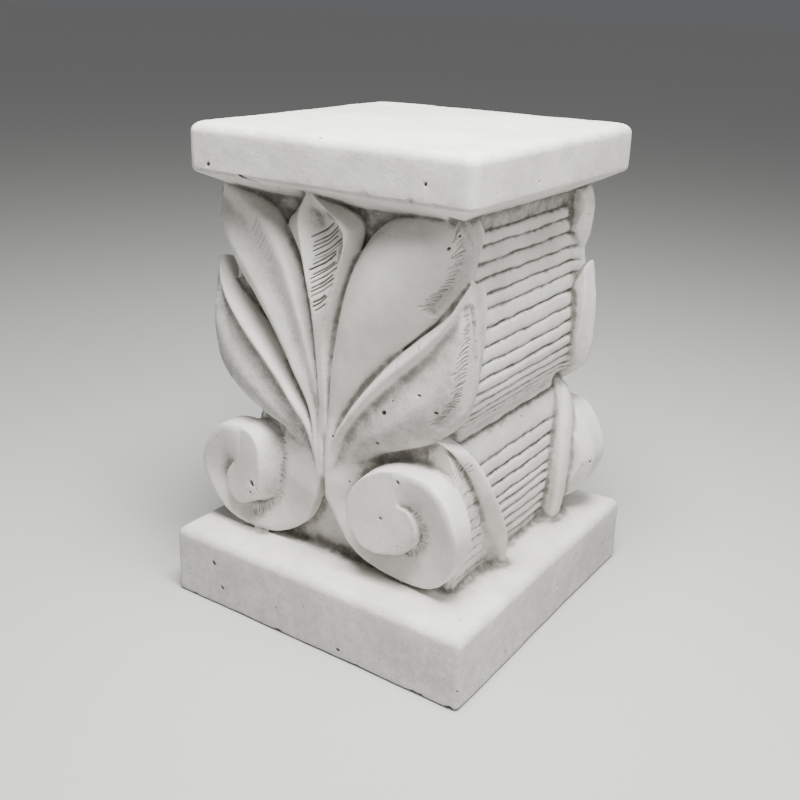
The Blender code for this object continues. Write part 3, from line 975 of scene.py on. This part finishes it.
# %% Low places
NEAR_REACH = 2.0
WIDE_REACH = 6.0


def lowness(piece, passes):
    """How far each point lies below the mean of its surroundings, in millimetres."""
    points, normals = read_skin(piece)
    edges = np.empty(len(piece.data.edges) * 2, dtype=int)
    piece.data.edges.foreach_get("vertices", edges)
    near = np.concatenate([edges[0::2], edges[1::2]])
    far = np.concatenate([edges[1::2], edges[0::2]])
    links = np.bincount(near, minlength=len(points))[:, None]
    mean = points
    for _ in range(passes):
        sums = [np.bincount(near, weights=mean[far, i], minlength=len(points)) for i in range(3)]
        mean = np.stack(sums, axis=-1) / links
    return np.einsum("ij,ij->i", mean - points, normals)


def keep(piece, name, values):
    """Keeps a value for each point where the finish can read it."""
    piece.data.attributes.new(name, "FLOAT", "POINT").data.foreach_set("value", values)
    print(name, np.percentile(values, (1, 50, 90, 99)).round(2))


for name, reach in (("joint", NEAR_REACH), ("recess", WIDE_REACH)):
    passes = max(1, round(2 * (reach / SKIN_VOXEL) ** 2))
    keep(pedestal, name, lowness(pedestal, passes))
keep(pedestal, "tooled", stroke_cut + hole_cut)
keep(pedestal, "stain_and_shade", cut_depth(stain_and_shade_lines, *read_skin(pedestal)))

# %% [markdown]
# ## Thinning
#
# A mesh this fine would be slow to handle, and most of it is nearly flat. The thinning keeps
# the triangles where the skin bends. Flat faces then get long triangles, so their normals are
# weighted by area, which keeps their shading even.

# %% Thin the mesh
TRIANGLES = 196000
BROAD_PASSES = 60
# The neck under the slab gets extra darkness: painted shade under the slab.
NECK_PAINTED_SHADE = 2.6
NECK_PAINTED_SHADE_RISES = (345, 370)
pedestal.modifiers.new("triangles", "TRIANGULATE")
apply_modifiers(pedestal)
thin = pedestal.modifiers.new("thin", "DECIMATE")
thin.ratio = min(1.0, TRIANGLES / len(pedestal.data.polygons))
apply_modifiers(pedestal)
pedestal.data.shade_smooth()
even = pedestal.modifiers.new("even_shading", "WEIGHTED_NORMAL")
even.mode = "FACE_AREA_WITH_ANGLE"
apply_modifiers(pedestal)
skin_points, skin_normals = read_skin(pedestal)
# Broad lowness paints the shade and grime of wide recesses, and painted shade is added on the neck
# under the slab.
under_slab = eased(skin_points[:, 2], *NECK_PAINTED_SHADE_RISES) * (skin_points[:, 2] < SLAB_FROM + 1)
keep(pedestal, "broad_shade_and_grime", lowness(pedestal, BROAD_PASSES) + NECK_PAINTED_SHADE * under_slab)
print("triangles", len(pedestal.data.polygons))

# %% [markdown]
# ## Where each groove runs
#
# The dark line in a groove, painted shade at its bottom with dirt in places, is only half a
# millimetre wide, much finer than the mesh. So each point of the flank keeps a number that grows
# by one from groove to groove. The finish then finds the line wherever the number passes a whole
# one, as sharp as the picture is.

# %% Count the grooves
FLANK_NEAR = 5.0
FLANK_FACING = 0.3
BEYOND = 25.0
ribs = np.zeros(len(skin_points))
ribbed = np.zeros(len(skin_points))
for side, lines in ((1, right_lines), (-1, left_lines)):
    off_face = side * skin_points[:, 0] - np.interp(skin_points[:, 2], *flank_rows.T)
    facing = side * skin_normals[:, 0] > FLANK_FACING
    on_flank = np.flatnonzero(facing & (np.abs(off_face) < FLANK_NEAR))
    depth, height = side * skin_points[on_flank, 1], skin_points[on_flank, 2]
    at = np.array([np.interp(depth, depths, line) for line in lines])
    count = np.clip((height - at[:-1]) / (at[1:] - at[:-1]), 0, 1).sum(axis=0)
    count += np.minimum(0, height - at[0]) / BEYOND + np.maximum(0, height - at[-1]) / BEYOND
    ribs[on_flank] = count
    below_neck = height < SLAB_FROM - NECK_DROP
    ribbed[on_flank] = eased(np.abs(depth), CORE_DEPTH, GROOVES_END + 4) * below_neck
keep(pedestal, "ribs", ribs)
keep(pedestal, "ribbed", ribbed)
print("points on the ribs", int((ribbed > 0).sum()))

# %% [markdown]
# ## White cast concrete
#
# White cement with fine sand, poured and left as it came from the mould. It is dry and matt,
# a warm white where rain keeps it clean, and a little greyer in patches. The sand gives it a
# grain of half a millimetre, which is too fine to show, so it is drawn at one millimetre.

# %% Colours
def linear(code):
    """An sRGB hex colour as linear red, green, blue and alpha."""
    parts = [int(code[i : i + 2], 16) / 255 for i in (1, 3, 5)]
    curved = [c / 12.92 if c <= 0.04045 else ((c + 0.055) / 1.055) ** 2.4 for c in parts]
    return (*curved, 1.0)


print("middle grey", linear("#808080"))

# %% Concrete
CLEAN_WHITE = "#DEDCD6"
CLOUDY_WHITE = "#CBC9C2"
# This grey paints dirt and painted shade alike: shade under the slab, in recesses and in grooves.
DIRT_AND_SHADE_GREY = "#504B42"
# This near black paints the shade inside the pores and the dark grit of the specks.
PORE_SHADE_AND_GRIT = "#1E1C19"
ROUGHNESS = 0.88
IOR = 1.5

concrete = bpy.data.materials.new("white_cast_concrete")
concrete.use_nodes = True
shader = concrete.node_tree.nodes["Principled BSDF"]
shader.inputs["Roughness"].default_value = ROUGHNESS
shader.inputs["IOR"].default_value = IOR
pedestal.data.materials.clear()
pedestal.data.materials.append(concrete)
print("white", linear(CLEAN_WHITE), "roughness", ROUGHNESS)


# %% Adding a node
MATH = "ShaderNodeMath"
MAP_RANGE = "ShaderNodeMapRange"


def add_node(kind, settings=(), links=()):
    """Adds a node to the concrete, with values for it or its sockets, and links into them."""
    node = concrete.node_tree.nodes.new(kind)
    for name, value in dict(settings).items():
        if isinstance(name, str) and hasattr(node, name):
            setattr(node, name, value)
        else:
            node.inputs[name].default_value = value
    for socket, source in dict(links).items():
        concrete.node_tree.links.new(source, node.inputs[socket])
    return node.outputs[2 if kind == "ShaderNodeMix" else 0]


coordinates = concrete.node_tree.nodes.new("ShaderNodeTexCoord").outputs["Object"]
print("nodes to start with", len(concrete.node_tree.nodes))

# %% [markdown]
# ## Grains of several sizes
#
# Concrete has a grain at every size: clouds a hand wide, smears of a fingertip, scratches and
# sand. One noise texture for each, with its size in real millimetres, keeps them apart. What
# was measured on the mesh is read back here by name.

# %% Grains of several sizes
GRAINS_MM = {"patch": 55.0, "smear": 9.0, "scratch": 2.2, "sand": 1.0}
grain, measured = {}, {}
for name, size in GRAINS_MM.items():
    settings = {"Scale": 1 / (size * MM), "Detail": 5.0, "Roughness": 0.65}
    grain[name] = add_node("ShaderNodeTexNoise", settings, {"Vector": coordinates})
for name in ("joint", "recess", "broad_shade_and_grime", "stain_and_shade", "tooled", "ribs", "ribbed"):
    node = concrete.node_tree.nodes.new("ShaderNodeAttribute")
    node.attribute_name = name
    measured[name] = node.outputs["Fac"]
print("grains", GRAINS_MM, "measured", *measured)

# %% [markdown]
# ## Dirt and painted shade
#
# Rain water carries soot and algae into the joints and leaves them there as it dries, so the
# dirt is darkest at the bottom of a joint and fades up its walls with a ragged edge. The same
# cover also paints the shade that falls into the joints and recesses. The measured lowness gives
# the place, and noise added before the threshold tears the edge. Dirt and shade painted by a
# colour ramp on the lowness alone would look airbrushed.

# %% Dirt and painted shade in the low places
ragged = add_node(MATH, {"operation": "MULTIPLY_ADD", 1: 1.6, 2: -0.8}, {0: grain["scratch"]})
broad = add_node(
    MAP_RANGE, {"From Min": 0.36, "From Max": 0.6, "To Min": 0.5, "To Max": 1.0},
    {"Value": grain["smear"]},
)
joint = add_node(MAP_RANGE, {"From Min": 0.0, "From Max": 0.55}, {"Value": measured["joint"]})
recess = add_node(MAP_RANGE, {"From Min": 0.04, "From Max": 1.2}, {"Value": measured["recess"]})
low = add_node(MATH, {"operation": "MAXIMUM"}, {0: joint, 1: recess})
low = add_node(MATH, {"operation": "MULTIPLY"}, {0: low, 1: broad})
edged = add_node(MATH, {"operation": "ADD"}, {0: low, 1: ragged})
edged = add_node(MAP_RANGE, {"From Min": 0.0, "From Max": 0.6}, {"Value": edged})
# Dirt in the joints and recesses, together with the painted shade that falls there.
joint_grime_and_shade = add_node(MATH, {"operation": "MULTIPLY"}, {0: edged, 1: low})
joint_grime_and_shade = add_node(MATH, {"operation": "POWER", 1: 0.7}, {0: joint_grime_and_shade})
# Painted shade and grime in broad recesses and on the neck under the slab, joined with the stains
# below.
broad_shade_and_grime = add_node(
    MAP_RANGE, {"From Min": 0.3, "From Max": 6.0, "To Max": 0.6}, {"Value": measured["broad_shade_and_grime"]}
)
# Stains along the laid-out lines; at the rims, under the lower petals and in the fold they paint
# shade as well as dirt.
stain_and_shade = add_node(MATH, {"operation": "ADD"}, {0: measured["stain_and_shade"], 1: ragged})
stain_and_shade = add_node(
    MAP_RANGE, {"From Min": 0.05, "From Max": 1.2, "To Max": 0.62}, {"Value": stain_and_shade}
)
broad_shade_and_grime = add_node(MATH, {"operation": "MAXIMUM"}, {0: broad_shade_and_grime, 1: stain_and_shade})
broad_shade_and_grime = add_node(MATH, {"operation": "MULTIPLY"}, {0: broad_shade_and_grime, 1: broad})
print("joint_grime_and_shade", len(concrete.node_tree.nodes), "nodes so far")

# %% [markdown]
# ## Lines, pores and specks
#
# A hand-cut groove holds a thin dark line that breaks off here and there: painted shade at the
# bottom of the groove, with dirt in places. Poured concrete also has round pores left by air,
# painted nearly black for the shade inside them, and specks of dark grit. A Voronoi texture
# scatters the pores one to a cell, and a noise with a high threshold leaves the odd specks, close
# together in some patches and absent in others.

# %% Thin dark lines in the grooves: painted shade and dirt
to_groove = add_node(MATH, {"operation": "PINGPONG", 1: 0.5}, {0: measured["ribs"]})
to_groove = add_node(
    MATH, {"operation": "MULTIPLY_ADD", 1: -0.12}, {0: grain["scratch"], 2: to_groove}
)
# The line paints the shade at the bottom of each groove, with dirt; the wider spread is dirt in
# patches.
line = add_node(
    MAP_RANGE, {"From Min": -0.04, "From Max": 0.045, "To Min": 1.0, "To Max": 0.0},
    {"Value": to_groove},
)
spread = add_node(
    MAP_RANGE, {"From Min": -0.02, "From Max": 0.16, "To Min": 1.0, "To Max": 0.0},
    {"Value": to_groove},
)
soiled = add_node(MAP_RANGE, {"From Min": 0.52, "From Max": 0.62}, {"Value": grain["smear"]})
spread = add_node(MATH, {"operation": "MULTIPLY"}, {0: spread, 1: soiled})
line = add_node(MATH, {"operation": "MULTIPLY"}, {0: line, 1: broad})
line = add_node(MATH, {"operation": "MAXIMUM"}, {0: line, 1: spread})
line = add_node(MATH, {"operation": "MULTIPLY"}, {0: line, 1: measured["ribbed"]})
print("lines", len(concrete.node_tree.nodes), "nodes so far")

# %% Pores and specks
# Pores differ in size: a random value of each cell shrinks its pore, often to nothing.
PORE_MM = 15.0
PORE_RADIUS = 1.1
PORE_EDGE = 0.25
SPECK_MM = 1.8
pores = concrete.node_tree.nodes.new("ShaderNodeTexVoronoi")
pores.inputs["Scale"].default_value = 1 / (PORE_MM * MM)
concrete.node_tree.links.new(coordinates, pores.inputs["Vector"])
pick = add_node("ShaderNodeSeparateColor", {}, {"Color": pores.outputs["Color"]})
reach = add_node(
    MAP_RANGE, {"From Min": 0.35, "From Max": 1.0, "To Max": PORE_RADIUS / PORE_MM}, {"Value": pick}
)
pore = add_node(MATH, {"operation": "SUBTRACT"}, {0: reach, 1: pores.outputs["Distance"]})
pore = add_node(MAP_RANGE, {"From Min": 0.0, "From Max": PORE_EDGE / PORE_MM}, {"Value": pore})
speck = add_node(
    "ShaderNodeTexNoise", {"Scale": 1 / (SPECK_MM * MM), "Detail": 2.0}, {"Vector": coordinates}
)
speck = add_node(MAP_RANGE, {"From Min": 0.64, "From Max": 0.72, "To Max": 0.5}, {"Value": speck})
speckled = add_node(MAP_RANGE, {"From Min": 0.52, "From Max": 0.64}, {"Value": grain["patch"]})
speck = add_node(MATH, {"operation": "MULTIPLY"}, {0: speck, 1: speckled})
# Pores painted nearly black for the shade inside them, and specks of dark grit.
pits = add_node(MATH, {"operation": "MAXIMUM"}, {0: pore, 1: speck})
print("pores", len(concrete.node_tree.nodes), "nodes so far")

# %% [markdown]
# ## Colour and relief
#
# The white is never one white: damp and cement skin leave clouds a hand wide. The dirt and the
# painted shade go over it in thin covers, each of them never quite opaque, and the pores are
# painted nearly black for the shade inside them. Sand and pores also get a bump, because half a
# millimetre of relief is too small for the mesh.

# %% Colour and relief of the concrete
DIRT_AND_SHADE_AT_MOST = 0.74
SAND_SHARE = 0.3
PIT_DEPTH = 1.2
BUMP_STRENGTH = 0.6
BUMP_MM = 0.8
patch = add_node(MAP_RANGE, {"From Min": 0.38, "From Max": 0.62}, {"Value": grain["patch"]})
colour = add_node(
    "ShaderNodeMix",
    {"data_type": "RGBA", 6: linear(CLOUDY_WHITE), 7: linear(CLEAN_WHITE)}, {0: patch},
)
tooled = add_node(MAP_RANGE, {"From Min": 0.1, "From Max": 1.2}, {"Value": measured["tooled"]})
# Each cover mixes in the grey: painted shade with grime in broad recesses and under the slab, dirt
# and painted shade in joints, dirt in the tool marks, and groove lines of painted shade and dirt.
for cover in (broad_shade_and_grime, joint_grime_and_shade, tooled, line):
    cover = add_node(MATH, {"operation": "MULTIPLY", 1: DIRT_AND_SHADE_AT_MOST}, {0: cover})
    colour = add_node(
        "ShaderNodeMix", {"data_type": "RGBA", 7: linear(DIRT_AND_SHADE_GREY)}, {0: cover, 6: colour}
    )
# The pores get painted shade in near black, and the specks get dark grit.
colour = add_node("ShaderNodeMix", {"data_type": "RGBA", 7: linear(PORE_SHADE_AND_GRIT)}, {0: pits, 6: colour})
concrete.node_tree.links.new(colour, shader.inputs["Base Color"])
relief = add_node(
    MATH, {"operation": "MULTIPLY_ADD", 1: SAND_SHARE}, {0: grain["sand"], 2: grain["smear"]}
)
for deep in (pits, line):
    relief = add_node(MATH, {"operation": "MULTIPLY_ADD", 1: -PIT_DEPTH}, {0: deep, 2: relief})
bump = add_node(
    "ShaderNodeBump", {"Strength": BUMP_STRENGTH, "Distance": BUMP_MM * MM}, {"Height": relief}
)
concrete.node_tree.links.new(bump, shader.inputs["Normal"])
print("concrete", len(concrete.node_tree.nodes), "nodes")

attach(pedestal, "root")
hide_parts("pedestal")

# %% [markdown]
# ## Floor and light
#
# A plain pale floor and soft studio light show the form without a story of their own. One wide
# lamp above gives the bright top and the shade under the slab, and a weaker one opens the flank.
# A faint light from straight overhead makes the far floor as bright as the world behind it, so
# that no hard horizon shows.

# %% Floor
FLOOR_COLOUR = "#B6B6B3"
FLOOR_REACH = 30.0
FLOOR_ROUGHNESS = 0.9
floor_mesh = bpy.data.meshes.new("floor")
corners = [(x * FLOOR_REACH, y * FLOOR_REACH, 0) for x, y in ((-1, -1), (1, -1), (1, 1), (-1, 1))]
floor_mesh.from_pydata(corners, [], [(0, 1, 2, 3)])
floor = bpy.data.objects.new("floor", floor_mesh)
bpy.context.scene.collection.objects.link(floor)
floor_paint = bpy.data.materials.new("pale_floor_paint")
floor_paint.use_nodes = True
floor_shader = floor_paint.node_tree.nodes["Principled BSDF"]
floor_shader.inputs["Base Color"].default_value = linear(FLOOR_COLOUR)
floor_shader.inputs["Roughness"].default_value = FLOOR_ROUGHNESS
floor_mesh.materials.append(floor_paint)
print("floor", 2 * FLOOR_REACH, "m wide")

# %% Lights
WORLD_COLOUR = "#F2F4F8"
WORLD_STRENGTH = 0.14


def add_light(name, kind, place, aim, power):
    """A lamp that stands at a place and points at its aim."""
    light = bpy.data.objects.new(name, bpy.data.lights.new(name, kind))
    bpy.context.scene.collection.objects.link(light)
    light.data.energy = power
    light.location = place
    light.rotation_euler = (Vector(aim) - Vector(place)).to_track_quat("-Z", "Y").to_euler()
    return light.data


add_light("soft_top", "AREA", (0.22, -0.25, 1.2), (0, 0, 0.25), 46).size = 0.5
add_light("soft_right", "AREA", (1.1, -0.3, 1.1), (0.1, 0, 0.35), 9).size = 0.5
add_light("soft_overall", "SUN", (0, 0, 3), (0, 0, 0), 0.42).angle = radians(40)

world = bpy.data.worlds.new("studio")
bpy.context.scene.world = world
world.use_nodes = True
background = world.node_tree.nodes["Background"]
background.inputs["Color"].default_value = linear(WORLD_COLOUR)
background.inputs["Strength"].default_value = WORLD_STRENGTH
print("lamps", [light.name for light in bpy.data.lights])
